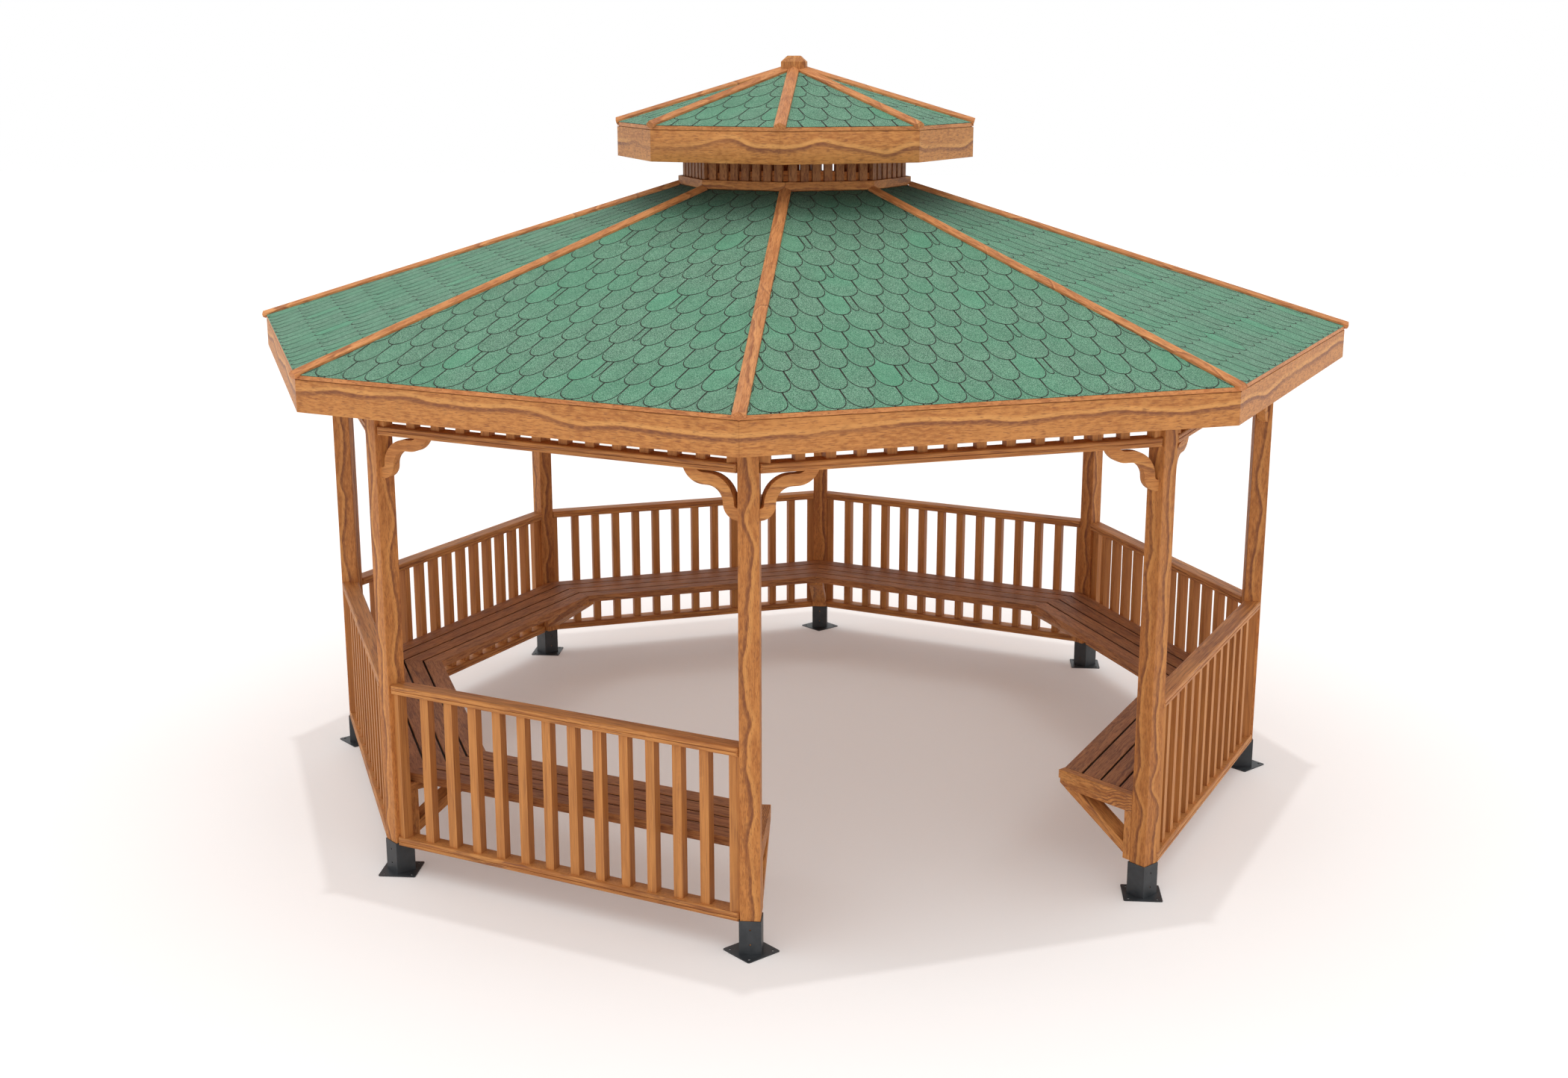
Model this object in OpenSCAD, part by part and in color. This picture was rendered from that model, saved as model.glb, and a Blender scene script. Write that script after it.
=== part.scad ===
// Eight-sided open garden gazebo in wood: posts in steel feet, railings and benches in seven bays,
// an open entrance bay, a shallow hipped roof and a slatted lantern with its own small roof.
// Millimetres, Z up, origin on the ground under the middle. The entrance is the front right bay.

/* [Plan] */
// Distance from the middle to the axis of each post
post_circle_r = 2500; // [2300:10:2700]

/* [Posts] */
// Side of the square posts
post_w = 90; // [80:1:110]
// Length of the posts
post_h = 2439; // [2300:1:2700]
// Rounding of the long edges of the posts
post_round = 4; // [1:0.5:8]

/* [Post feet] */
// Side of the square foot plate
plate_w = 180; // [170:1:220]
// Thickness of the foot plate
plate_t = 5; // [4:0.5:10]
// Corner rounding of the foot plate
plate_round = 8; // [3:1:15]
// Wall of the square sleeve that holds the post
sleeve_wall = 4; // [3:0.5:6]
// Height of the sleeve above the plate
sleeve_h = 156; // [150:1:180]
// Circle of the four ground bolts
bolt_circle_d = 190; // [180:1:200]
// Hole for a ground bolt
bolt_hole_d = 14; // [10:0.5:18]
// Screw hole through the sleeve
screw_hole_d = 8; // [5:0.5:12]
// Height of the lower screw hole above the plate
screw_low = 45; // [30:1:60]
// Spacing of the two screw holes
screw_pitch = 70; // [50:1:85]

/* [Railing] */
// Width of the rails
rail_w = 90; // [80:1:100]
// Thickness of the rails
rail_t = 42; // [36:1:48]
// Rounding of the rail edges
rail_round = 9; // [4:0.5:14]
// Width of the shadow groove along the rail edges
groove_w = 4; // [2:0.5:6]
// Depth of the shadow groove
groove_d = 4; // [2:0.5:6]
// Height of the top of the upper rail
top_rail_z = 955; // [900:1:1050]
// How far the lower rail comes down over the steel sleeves, in notches at its ends
low_rail_lap = 9; // [3:0.5:14]
// Rounding of the outer corners at the rail ends, seen from above
rail_end_round = 15; // [8:0.5:20]
// Side of the square balusters
baluster_w = 45; // [38:1:50]
// Balusters in one bay, without the two end stiles
baluster_count = 12; // [8:1:12]

/* [Frieze] */
// Height of the short blocks on the frieze rail
frieze_block_h = 100; // [60:1:120]
// Thickness of the head beams
beam_t = 45; // [40:1:60]
// Height of the head beams
beam_h = 140; // [100:1:160]
// How far the head beams stay below the tops of the posts
beam_drop = 15; // [5:1:40]

/* [Brackets] */
// Thickness of the curved brackets
bracket_t = 45; // [30:1:50]
// Width of the curved band
bracket_band = 52; // [40:1:60]
// Radius of the bend at the post
bracket_foot_r = 40; // [34:1:50]
// Radius of the bend in the middle
bracket_mid_r = 97; // [80:1:120]
// Radius of the bend at the rail
bracket_head_r = 75; // [60:1:90]
// Depth of the band's middle below the rail, where the last bend begins
bracket_drop = 40; // [30:1:50]
// Straight run between the post and the first bend
bracket_stub = 5; // [2:1:20]
// Straight run between the middle bend and the last one
bracket_run = 24; // [4:1:40]

/* [Bench] */
// Height of the top of the seat
seat_z = 488; // [430:1:520]
// Seat boards, from front to back
seat_boards = 4; // [3:1:4]
// Width of a seat board
seat_board_w = 95; // [80:1:100]
// Gap between seat boards
seat_gap = 10; // [5:0.5:15]
// Thickness of the seat boards
seat_t = 42; // [30:1:48]
// Rounding of the seat board edges
seat_round = 4; // [1:0.5:8]
// Gap between the back of the seat and the posts
seat_back_gap = 5; // [3:0.5:20]
// Thickness of the bearers under the seat
bearer_t = 42; // [36:1:48]
// How far the bearer stays behind the front of the seat
bearer_setback = 10; // [0:1:40]
// Height of the slanted cut at the front end of the bearer
bearer_cut = 20; // [10:1:30]
// Thickness of the cleat on the post
cleat_t = 40; // [30:1:50]
// Gap between the cleat and the steel sleeve
cleat_gap = 5; // [2:0.5:20]
// Thickness of the slanted brace
brace_t = 45; // [36:1:50]
// Slope of the brace
brace_angle = 30; // [27:0.5:32]

/* [Lower roof] */
// How far the corners of the eave reach past the axes of the posts
eave_overhang = 395; // [300:5:500]
// Height of the eave board
fascia_h = 147; // [120:1:160]
// Thickness of the eave boards of both roofs
fascia_t = 28; // [18:1:36]
// Height of the shadow groove between the eave boards and the boarding
eave_groove_h = 3; // [1:0.5:6]
// Depth of that groove
eave_groove_d = 7; // [3:0.5:12]
// Slope of the lower roof
roof_pitch = 18.6; // [15:0.1:24]
// Thickness of the roof boarding
deck_t = 18; // [15:1:24]
// Width of the hip rafters
rafter_w = 45; // [40:1:60]
// Height of the hip rafters
rafter_h = 120; // [100:1:140]

/* [Hip caps] */
// Width of the battens that cap the hips
cap_w = 58; // [44:1:70]
// Height of the batten's ridge above the hip line of the boarding
cap_rise = 25; // [16:1:32]
// Height of the batten's shoulders above the hip line
cap_shoulder = 9; // [4:0.5:12]
// Depth of the batten's sides below the hip line
cap_side = 6; // [5:0.5:8]
// Depth of the batten's lower edge where it hangs over the eave
cap_beak = 16; // [10:1:24]
// Overhang of the battens at the lower eave
cap_overhang = 12; // [6:1:25]
// Overhang of the battens at the upper eave
upper_cap_overhang = 1; // [0:1:20]

/* [Lantern] */
// Distance from the middle to the corners of the base ring
ring_r = 614; // [560:1:680]
// Width of the base ring boards
ring_w = 90; // [85:1:110]
// Thickness of the base ring boards
ring_t = 42; // [30:1:48]
// Overhang of the base ring over its curb
ring_overhang = 25; // [15:1:32]
// Thickness of the curb boards
curb_t = 45; // [30:1:50]
// Height of the curb boards
curb_h = 140; // [125:1:160]
// Setback of the slats behind the edge of the base ring
slat_inset = 19; // [10:1:30]
// Slats on each side
slat_count = 7; // [5:1:7]
// Width of a slat
slat_w = 42; // [30:1:44]
// Thickness of a slat
slat_t = 20; // [14:1:24]
// Gap between the corner of the lantern and the first slat
slat_corner_gap = 20; // [8:1:40]
// Height from the base ring to the top of the upper eave board
lantern_rise = 256; // [230:1:320]

/* [Upper roof] */
// How far the corners of the upper eave reach past the corners of the base ring
upper_overhang = 320; // [250:1:380]
// Height of the upper eave board
upper_fascia_h = 155; // [120:1:165]
// Slope of the upper roof
upper_pitch = 17.8; // [15:0.1:24]
// Width of the upper rafters
upper_rafter_w = 40; // [34:1:48]
// Height of the upper rafters
upper_rafter_h = 65; // [55:1:75]
// Depth of the notch where an upper rafter sits on its plate
rafter_notch = 12; // [6:1:18]
// Width of the eight-sided block where the upper rafters meet
king_w = 120; // [110:1:150]
// Height of that block below the rafters
king_drop = 15; // [5:1:60]

/* [Finial] */
// Side of the square finial
finial_w = 129; // [120:1:160]
// Side of the finial's top
finial_top_w = 66; // [40:1:90]
// Height of the finial above the point of the boarding
finial_rise = 60; // [50:1:90]
// Height of the finial's bevel
finial_bevel_h = 30; // [15:1:40]

/* [Fits] */
// Clearance where a piece fits in or against another
fit = 0.3; // [0.1:0.05:0.4]

/* [Hidden] */
$fn = 48;
SIDES = 8;
sector = 360 / SIDES;
half = sector / 2;
first_angle = -90;
eave_r = post_circle_r + eave_overhang;
far = 2 * eave_r;
high = 2 * (post_h + eave_r);
apothem = post_circle_r * cos(half);
half_bay = post_circle_r * sin(half);

// Rails run flush with the outer corners of the posts
rail_out = apothem + post_w / 2 * (cos(half) + sin(half));
rail_mid = rail_out - rail_w / 2;
post_side = post_w / 2 + fit;
stile_s = half_bay - (post_side + baluster_w / 2) / cos(half);
baluster_step = 2 * stile_s / (baluster_count + 1);

sleeve_in = post_w + 2 * fit;
sleeve_out = sleeve_in + 2 * sleeve_wall;
sleeve_top = plate_t + sleeve_h;
notch_side = sleeve_out / 2 + fit;
low_rail_z = sleeve_top - low_rail_lap;

post_top = plate_t + post_h;
beam_z = post_top - beam_drop - beam_h;
frieze_top = beam_z - frieze_block_h;
frieze_z = frieze_top - rail_t;

post_in = post_circle_r - post_w / 2;
seat_depth = seat_boards * seat_board_w + (seat_boards - 1) * seat_gap;
seat_back = post_in * cos(half) - seat_back_gap;
seat_front = seat_back - seat_depth;
seat_front_r = seat_front / cos(half);
bearer_z = seat_z - seat_t - bearer_t;
cleat_r = post_in - fit - cleat_t;
bearer_low_r = seat_front_r + bearer_setback + bearer_cut / tan(brace_angle);

eave_n = eave_r * cos(half);
fascia_in = eave_n - fascia_t;
hip_pitch = atan(tan(roof_pitch) * cos(half));
eave_z = post_top + rafter_h / cos(hip_pitch) - (eave_r - post_in) * tan(hip_pitch);
deck_edge = deck_t / cos(roof_pitch);
ring_out = ring_r * cos(half);
curb_out = ring_out - ring_overhang;
deck_end = curb_out + fit;
ring_z = deck_under(curb_out) + deck_edge;
ring_top = ring_z + ring_t;

upper_eave_z = ring_top + lantern_rise;
upper_eave_r = ring_r + upper_overhang;
upper_eave_n = upper_eave_r * cos(half);
upper_fascia_in = upper_eave_n - fascia_t;
upper_hip_pitch = atan(tan(upper_pitch) * cos(half));
upper_deck_edge = deck_t / cos(upper_pitch);
upper_deck_end = king_w / 6;
slat_out = ring_out - slat_inset;
slat_first = slat_w / 2 + slat_corner_gap - slat_out * tan(half);
slat_step = -2 * slat_first / (slat_count - 1);
plate_top = upper_rafter_under(ring_r) + rafter_notch;
plate_z = plate_top - ring_t;
king_n = king_w / 2;
king_z = upper_rafter_under(king_n) - king_drop;
upper_apex = upper_deck_under(0) + upper_deck_edge;
finial_top = upper_apex + finial_rise;
finial_low = upper_deck_under(finial_w);

WOOD = "peru";
DARK_WOOD = "sienna";
ROOF_WOOD = "burlywood";
STEEL = "darkslategray";

// Directions of the posts and of the bays between them, counted from the front post
function post_angle(k) = first_angle + sector * k;
function bay_angle(k) = post_angle(k) + half;

// Heights of the roof at a distance n from the axis, or r along a hip
function deck_under(n) = eave_z + (eave_n - n) * tan(roof_pitch);
function rafter_under(r) = eave_z + (eave_r - r) * tan(hip_pitch) - rafter_h / cos(hip_pitch);
function upper_deck_under(n) = upper_eave_z + (upper_eave_n - n) * tan(upper_pitch);
function upper_rafter_under(r) =
    upper_eave_z + (upper_eave_r - r) * tan(upper_hip_pitch) - upper_rafter_h / cos(upper_hip_pitch);

// Local axes of a bay: X outward, Y along the bay
module in_bay(k) {
    rotate([0, 0, bay_angle(k)]) children();
}

// Local axes of a post: X outward from the middle
module at_post(k) {
    rotate([0, 0, post_angle(k)]) children();
}

module each_bay() {
    for (k = [0 : SIDES - 1])
        in_bay(k) children();
}

module each_post() {
    for (k = [0 : SIDES - 1])
        at_post(k) children();
}

module both_ends() {
    children();
    mirror([0, 1, 0]) children();
}

// Sector between two hips, held back by gap from each hip plane
module sector_prism(gap) {
    tip = gap / sin(half);
    side = (far - tip) * tan(half);
    linear_extrude(height = high)
        polygon([[tip, 0], [far, side], [far, -side]]);
}

// An outline in outward distance and height, run along the bay
module run_along_bay() {
    rotate([90, 0, 0]) linear_extrude(height = 2 * far, center = true) children();
}

// An outline in outward distance and height, run across a post's own plane
module run_across(w) {
    rotate([90, 0, 0]) linear_extrude(height = w, center = true) children();
}

// A bar along the bay, cut to the two hip planes
module mitred_bar(gap) {
    intersection() {
        run_along_bay() children();
        sector_prism(gap);
    }
}

// Eight-sided prism with its flat sides facing the bays, n from the middle
module octagon_prism(n) {
    cylinder(r = n / cos(half), h = high, $fn = SIDES);
}

// Eight-sided prism with its flat sides facing the posts
module turned_octagon_prism(n) {
    rotate([0, 0, half]) octagon_prism(n);
}

// Rounded rectangle that starts at the origin
module rounded(w, h, r) {
    translate([r, 0]) square([w - 2 * r, h]);
    translate([0, r]) square([w, h - 2 * r]);
    for (x = [r, w - r])
        for (y = [r, h - r])
            translate([x, y]) circle(r);
}

// Everything above the plane of a roof slope that has height z on the axis
module above_slope(z, pitch) {
    run_along_bay()
        polygon([
            [-far, z + far * tan(pitch)],
            [far, z - far * tan(pitch)],
            [far, high + far],
            [-far, high + far]
        ]);
}

// Ground plan of a rail: cut to the posts, with rounded outer corners
module rail_plan() {
    tip = post_side / sin(half);
    corner_x = rail_out - rail_end_round + fit;
    corner_y = (corner_x * sin(half) - post_side - rail_end_round) / cos(half);
    polygon([
        [tip, 0],
        [corner_x - rail_end_round * sin(half), corner_y + rail_end_round * cos(half)],
        [corner_x + rail_end_round, corner_y],
        [corner_x + rail_end_round, -corner_y],
        [corner_x - rail_end_round * sin(half), -corner_y - rail_end_round * cos(half)]
    ]);
    for (y = [corner_y, -corner_y])
        translate([corner_x, y]) circle(rail_end_round);
}

// Section of a rail with rounded edges and a shadow groove on both sides
module rail_outline() {
    difference() {
        rounded(rail_w, rail_t, rail_round);
        translate([-groove_d, (rail_t - groove_w) / 2]) square([2 * groove_d, groove_w]);
        translate([rail_w - groove_d, (rail_t - groove_w) / 2]) square([2 * groove_d, groove_w]);
    }
}

module rail(z) {
    intersection() {
        run_along_bay() translate([rail_out - rail_w, z]) rail_outline();
        linear_extrude(height = high) rail_plan();
    }
}

// Square uprights between two rails, with a stile turned to each post
module uprights(z, h) {
    first = -(baluster_count - 1) / 2 * baluster_step;
    for (i = [0 : baluster_count - 1])
        translate([rail_mid - baluster_w / 2, first + i * baluster_step - baluster_w / 2, z])
            cube([baluster_w, baluster_w, h]);
    both_ends()
        translate([apothem, -half_bay, z]) rotate([0, 0, -half])
            translate([-baluster_w / 2, post_side, 0]) cube([baluster_w, baluster_w, h]);
}

module railing(k) {
    low_top = low_rail_z + rail_t;
    color(WOOD)
        in_bay(k) {
            difference() {
                rail(low_rail_z);
                both_ends()
                    translate([apothem, -half_bay, 0]) rotate([0, 0, -half])
                        translate([-rail_w, 0, 0]) cube([2 * rail_w, notch_side, sleeve_top + fit]);
            }
            rail(top_rail_z - rail_t);
            uprights(low_top, top_rail_z - rail_t - low_top);
        }
}

module foot() {
    translate([post_circle_r, 0, 0]) {
        linear_extrude(height = plate_t)
            difference() {
                rotate(45) translate([-plate_w / 2, -plate_w / 2]) rounded(plate_w, plate_w, plate_round);
                for (a = [0 : 90 : 270])
                    rotate(a) translate([bolt_circle_d / 2, 0]) circle(d = bolt_hole_d);
            }
        difference() {
            translate([-sleeve_out / 2, -sleeve_out / 2, plate_t])
                cube([sleeve_out, sleeve_out, sleeve_h]);
            translate([-sleeve_in / 2, -sleeve_in / 2, plate_t])
                cube([sleeve_in, sleeve_in, 2 * sleeve_h]);
            for (z = [screw_low, screw_low + screw_pitch])
                translate([0, 0, plate_t + z]) rotate([0, 90, 0])
                    cylinder(d = screw_hole_d, h = 2 * sleeve_out, center = true);
        }
    }
}

module post_feet() {
    color(STEEL)
        each_post() foot();
}

module post(k) {
    color(WOOD)
        at_post(k)
            translate([post_in, -post_w / 2, plate_t])
                linear_extrude(height = post_h) rounded(post_w, post_w, post_round);
}

// Four boards of one bay, mitred to their neighbours over the bearers
module bench(k) {
    color(DARK_WOOD)
        in_bay(k)
            for (i = [0 : seat_boards - 1])
                mitred_bar(fit)
                    translate([seat_front + i * (seat_board_w + seat_gap), seat_z - seat_t])
                        rounded(seat_board_w, seat_t, seat_round);
}

module bench_cleats() {
    color(WOOD)
        each_post()
            translate([cleat_r, -post_w / 2, sleeve_top + cleat_gap])
                cube([cleat_t, post_w, bearer_z - sleeve_top - cleat_gap]);
}

module bench_braces() {
    brace_end = cleat_r - fit;
    foot_z = bearer_z - (brace_end - bearer_low_r) * tan(brace_angle);
    color(WOOD)
        each_post()
            run_across(post_w)
                polygon([
                    [brace_end, foot_z],
                    [brace_end, foot_z + brace_t / cos(brace_angle)],
                    [bearer_low_r + brace_t / sin(brace_angle), bearer_z],
                    [bearer_low_r, bearer_z]
                ]);
}

module bench_bearers() {
    front = seat_front_r + bearer_setback;
    color(WOOD)
        each_post()
            run_across(post_w)
                polygon([
                    [bearer_low_r, bearer_z],
                    [post_in - fit, bearer_z],
                    [post_in - fit, bearer_z + bearer_t],
                    [front, bearer_z + bearer_t],
                    [front, bearer_z + bearer_cut]
                ]);
}

// The boards that close the seat at both sides of the entrance
module bench_end_boards() {
    color(WOOD) {
        at_post(0) bench_end_board();
        at_post(1) mirror([0, 1, 0]) bench_end_board();
    }
}

module bench_end_board() {
    translate([seat_front_r, 0, seat_z - seat_t])
        cube([post_in - fit - seat_front_r, post_w / 2, seat_t]);
}

module frieze_panels() {
    color(WOOD)
        each_bay() {
            rail(frieze_z);
            uprights(frieze_top, frieze_block_h);
        }
}

module head_beams() {
    color(WOOD)
        each_bay()
            mitred_bar(post_side)
                translate([rail_mid - beam_t / 2, beam_z]) square([beam_t, beam_h]);
}

// A quarter turn of the curved band round a centre, from the angle turn on
module quarter_bend(centre, r, turn) {
    translate(centre) rotate(turn)
        intersection() {
            difference() {
                circle(r + bracket_band / 2);
                circle(r - bracket_band / 2);
            }
            square(r + bracket_band);
        }
}

// A level stretch of the band with its middle line at height z
module level_band(x, z, length) {
    translate([x, z - bracket_band / 2]) square([length, bracket_band]);
}

// The double-curved band from the post, which it enters, up to the underside of the rail
module bracket_outline() {
    bend_z = -bracket_drop - bracket_mid_r;
    mid_x = bracket_stub + bracket_foot_r + bracket_mid_r;
    head_x = mid_x + bracket_run;
    reach = head_x + bracket_head_r + bracket_band;
    depth = bracket_foot_r + bracket_band - bend_z;
    intersection() {
        union() {
            level_band(-post_w, bend_z - bracket_foot_r, post_w + bracket_stub);
            quarter_bend([bracket_stub, bend_z], bracket_foot_r, -90);
            quarter_bend([mid_x, bend_z], bracket_mid_r, 90);
            level_band(mid_x, -bracket_drop, bracket_run);
            quarter_bend([head_x, bracket_head_r - bracket_drop], bracket_head_r, -90);
        }
        translate([-post_w, -depth]) square([post_w + reach, depth]);
    }
}

module frieze_brackets() {
    face_s = half_bay - (post_w / 2 - (rail_mid + bracket_t / 2 - apothem) * sin(half)) / cos(half);
    color(WOOD)
        each_bay()
            both_ends()
                intersection() {
                    translate([rail_mid - bracket_t / 2, -face_s, frieze_z])
                        rotate([90, 0, 90]) linear_extrude(height = bracket_t) bracket_outline();
                    sector_prism(post_side);
                }
}

module hip_rafters() {
    color(WOOD)
        for (k = [0 : SIDES - 1])
            difference() {
                intersection() {
                    at_post(k)
                        run_across(rafter_w)
                            polygon([
                                [0, rafter_under(0)],
                                [far, rafter_under(far)],
                                [far, high],
                                [0, high]
                            ]);
                    octagon_prism(fascia_in);
                }
                octagon_prism(curb_out + fit);
                in_bay(k) above_slope(deck_under(0), roof_pitch);
                in_bay(k - 1) above_slope(deck_under(0), roof_pitch);
                at_post(k) translate([post_in, -post_w / 2, 0]) cube([post_w, post_w, post_top]);
            }
}

module lower_roof_boarding() {
    color(ROOF_WOOD)
        each_bay()
            mitred_bar(fit / 2)
                polygon([
                    [eave_n, eave_z],
                    [eave_n, eave_z + deck_edge],
                    [deck_end, deck_under(deck_end) + deck_edge],
                    [deck_end, deck_under(deck_end)]
                ]);
}

// Section of an eave board, grooved under the edge of the boarding
module fascia_outline(n, z, h, pitch) {
    groove_in = n - eave_groove_d;
    fascia_back = n - fascia_t;
    polygon([
        [n, z - eave_groove_h],
        [n, z - h],
        [fascia_back, z - h],
        [fascia_back, z + fascia_t * tan(pitch)],
        [groove_in, z + eave_groove_d * tan(pitch)],
        [groove_in, z - eave_groove_h]
    ]);
}

module lower_fascia() {
    color(WOOD)
        each_bay()
            mitred_bar(fit / 2) fascia_outline(eave_n, eave_z, fascia_h, roof_pitch);
}

// A batten with a ridge, laid down the hip from height z above the axis
module hip_batten(z, slope, length) {
    translate([0, 0, z]) rotate([0, 90 + slope, 0]) rotate([0, 0, 90])
        linear_extrude(height = length)
            polygon([
                [0, cap_rise],
                [cap_w / 2, cap_shoulder],
                [cap_w / 2, -cap_side],
                [0, -cap_beak],
                [-cap_w / 2, -cap_side],
                [-cap_w / 2, cap_shoulder]
            ]);
}

module lower_hip_caps() {
    length = (eave_r + cap_overhang) / cos(hip_pitch);
    top_n = deck_under(0) + deck_edge;
    color(DARK_WOOD)
        each_post()
            difference() {
                hip_batten(top_n, hip_pitch, length);
                octagon_prism(ring_out + fit);
                roof_core(top_n + fit, roof_pitch, eave_n + fit);
            }
}

// The body below both slopes beside the hip on the X axis, out to distance n
module roof_core(z, pitch, n) {
    difference() {
        octagon_prism(n);
        rotate([0, 0, half]) above_slope(z, pitch);
        rotate([0, 0, -half]) above_slope(z, pitch);
    }
}

module lantern_curb() {
    color(WOOD)
        each_bay()
            mitred_bar(fit / 2)
                translate([curb_out - curb_t, ring_z - curb_h]) square([curb_t, curb_h]);
}

module lantern_base_ring() {
    color(WOOD)
        each_bay()
            mitred_bar(fit / 2)
                translate([ring_out - ring_w, ring_z]) square([ring_w, ring_t]);
}

module lantern_slats() {
    color(WOOD)
        each_bay()
            for (i = [0 : slat_count - 1])
                translate([slat_out - slat_t, slat_first + i * slat_step - slat_w / 2, ring_top])
                    cube([slat_t, slat_w, plate_z - ring_top]);
}

module lantern_top_plate() {
    color(WOOD)
        each_bay()
            mitred_bar(fit / 2)
                translate([ring_out - ring_w, plate_z]) square([ring_w, ring_t]);
}

module upper_rafters() {
    color(WOOD)
        for (k = [0 : SIDES - 1])
            difference() {
                intersection() {
                    at_post(k)
                        run_across(upper_rafter_w)
                            polygon([
                                [0, upper_rafter_under(0)],
                                [far, upper_rafter_under(far)],
                                [far, high],
                                [0, high]
                            ]);
                    octagon_prism(upper_fascia_in);
                }
                turned_octagon_prism(king_n + fit);
                in_bay(k) above_slope(upper_deck_under(0), upper_pitch);
                in_bay(k - 1) above_slope(upper_deck_under(0), upper_pitch);
                intersection() {
                    octagon_prism(ring_out);
                    translate([-far, -far, 0]) cube([2 * far, 2 * far, plate_top]);
                }
            }
}

module king_block() {
    color(WOOD)
        difference() {
            translate([0, 0, king_z]) turned_octagon_prism(king_n);
            each_bay() above_slope(upper_deck_under(0), upper_pitch);
        }
}

module upper_roof_boarding() {
    color(ROOF_WOOD)
        each_bay()
            mitred_bar(fit / 2)
                polygon([
                    [upper_eave_n, upper_eave_z],
                    [upper_eave_n, upper_eave_z + upper_deck_edge],
                    [upper_deck_end, upper_deck_under(upper_deck_end) + upper_deck_edge],
                    [upper_deck_end, upper_deck_under(upper_deck_end)]
                ]);
}

module upper_fascia() {
    color(WOOD)
        each_bay()
            mitred_bar(fit / 2) fascia_outline(upper_eave_n, upper_eave_z, upper_fascia_h, upper_pitch);
}

module upper_hip_caps() {
    length = (upper_eave_r + upper_cap_overhang) / cos(upper_hip_pitch);
    finial_hole = finial_w + 2 * fit;
    color(DARK_WOOD)
        for (k = [0 : SIDES - 1])
            difference() {
                at_post(k)
                    intersection() {
                        difference() {
                            hip_batten(upper_apex, upper_hip_pitch, length);
                            roof_core(upper_apex + fit, upper_pitch, upper_eave_n + fit);
                        }
                        sector_prism(fit);
                    }
                translate([-finial_hole / 2, -finial_hole / 2, 0]) cube([finial_hole, finial_hole, high]);
            }
}

// A square block with a bevelled top, hollowed below to sit on the point of the roof
module finial() {
    color(WOOD)
        difference() {
            intersection() {
                finial_slice();
                rotate([0, 0, 90]) finial_slice();
            }
            intersection_for (k = [0 : SIDES - 1])
                in_bay(k) below_slope(upper_apex, upper_pitch);
        }
}

module finial_slice() {
    bevel_z = finial_top - finial_bevel_h;
    run_across(2 * finial_w)
        polygon([
            [-finial_w / 2, finial_low],
            [finial_w / 2, finial_low],
            [finial_w / 2, bevel_z],
            [finial_top_w / 2, finial_top],
            [-finial_top_w / 2, finial_top],
            [-finial_w / 2, bevel_z]
        ]);
}

// Everything below the plane of a roof slope that has height z on the axis
module below_slope(z, pitch) {
    run_along_bay()
        polygon([
            [-far, z + far * tan(pitch)],
            [far, z - far * tan(pitch)],
            [far, -far],
            [-far, -far]
        ]);
}

post_feet();
post(0);  // post_front
post(1);  // post_front_right
post(2);  // post_right
post(3);  // post_back_right
post(4);  // post_back
post(5);  // post_back_left
post(6);  // post_left
post(7);  // post_front_left
railing(1);  // railing_right_front
railing(2);  // railing_right_back
railing(3);  // railing_back_right
railing(4);  // railing_back_left
railing(5);  // railing_left_back
railing(6);  // railing_left_front
railing(7);  // railing_front_left
bench(1);  // bench_right_front
bench(2);  // bench_right_back
bench(3);  // bench_back_right
bench(4);  // bench_back_left
bench(5);  // bench_left_back
bench(6);  // bench_left_front
bench(7);  // bench_front_left
bench_cleats();
bench_braces();
bench_bearers();
bench_end_boards();
frieze_panels();
frieze_brackets();
head_beams();
hip_rafters();
lower_roof_boarding();
lower_fascia();
lower_hip_caps();
lantern_curb();
lantern_base_ring();
lantern_slats();
lantern_top_plate();
upper_rafters();
king_block();
upper_roof_boarding();
upper_fascia();
upper_hip_caps();
finial();
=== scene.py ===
"""Looks of the garden gazebo: timber, shingles, coated steel feet, camera and studio light."""

import math
import random
from typing import NamedTuple

import bpy
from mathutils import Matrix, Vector


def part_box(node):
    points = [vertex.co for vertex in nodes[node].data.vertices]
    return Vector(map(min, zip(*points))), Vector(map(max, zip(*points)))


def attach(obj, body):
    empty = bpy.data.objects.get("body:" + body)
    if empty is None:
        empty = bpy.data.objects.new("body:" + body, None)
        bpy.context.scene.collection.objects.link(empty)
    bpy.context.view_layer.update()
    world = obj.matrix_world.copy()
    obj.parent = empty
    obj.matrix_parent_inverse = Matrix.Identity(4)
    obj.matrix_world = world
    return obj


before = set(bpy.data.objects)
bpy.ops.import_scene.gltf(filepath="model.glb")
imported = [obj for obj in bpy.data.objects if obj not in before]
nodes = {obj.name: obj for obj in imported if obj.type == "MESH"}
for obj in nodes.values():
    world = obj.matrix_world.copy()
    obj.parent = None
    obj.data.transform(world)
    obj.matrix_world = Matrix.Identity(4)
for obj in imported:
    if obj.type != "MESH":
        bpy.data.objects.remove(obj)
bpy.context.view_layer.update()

# Eight sectors, counted around the posts or around the bays between them
SIDES = 8
SECTOR = 2 * math.pi / SIDES
HALF = SECTOR / 2
FIRST_POST = -math.pi / 2
FIRST_BAY = FIRST_POST + HALF

# Sizes and slopes, as in the part's source, in metres and radians
POST_W = 0.090
RAIL_T = 0.042
BALUSTER_STEP = 0.1359
SEAT_STEP = 0.105
SLAT_STEP = 0.062
DECK_T = 0.018
CAP_W = 0.058
BRACE_FALL = math.radians(30)
ROOF_PITCH = math.radians(18.6)
UPPER_PITCH = math.radians(17.8)

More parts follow.
